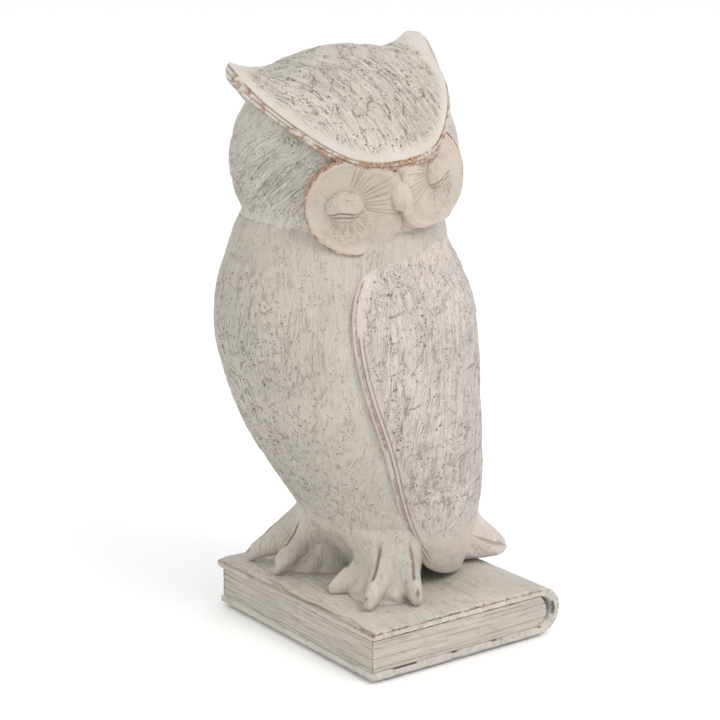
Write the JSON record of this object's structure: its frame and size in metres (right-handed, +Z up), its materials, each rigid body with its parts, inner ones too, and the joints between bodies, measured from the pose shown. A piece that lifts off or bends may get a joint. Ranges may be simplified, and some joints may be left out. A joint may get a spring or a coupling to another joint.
{
  "type": "owl figurine",
  "caption": "Whitewashed cast figurine of an owl with closed eyes, standing on a closed book with its head turned to one side.",
  "frame": {"origin": "centre of the felt's underside, where the figurine rests", "axes": "+X along the book's spine to the owl's left, the way its face looks; -Y to the fore-edge and the way the breast faces; +Z up"},
  "size_m": [0.1173, 0.1315, 0.254],
  "materials": {
    "whitewashed_resin": "matte whitewash over brown and terracotta, rubbed through at the edges",
    "felt": "dense felt",
    "plug": "matte",
    "steel": "plain drawn rod",
    "dowel_wood": "raw beech"
  },
  "bodies": {
    "root": {"felt_base": "felt", "pour_plug": "plug", "book_case": "whitewashed_resin", "page_block": "whitewashed_resin", "left_leg": "whitewashed_resin", "right_leg": "whitewashed_resin", "left_leg_rod": "steel", "right_leg_rod": "steel", "torso": "whitewashed_resin", "neck_dowel": "dowel_wood", "left_wing": "whitewashed_resin", "right_wing": "whitewashed_resin", "wing_pins": "steel", "tail": "whitewashed_resin", "head": "whitewashed_resin", "brow_crest": "whitewashed_resin", "left_face_disc": "whitewashed_resin", "right_face_disc": "whitewashed_resin", "left_eye": "whitewashed_resin", "right_eye": "whitewashed_resin", "beak": "whitewashed_resin"}
  },
  "joints": []
}
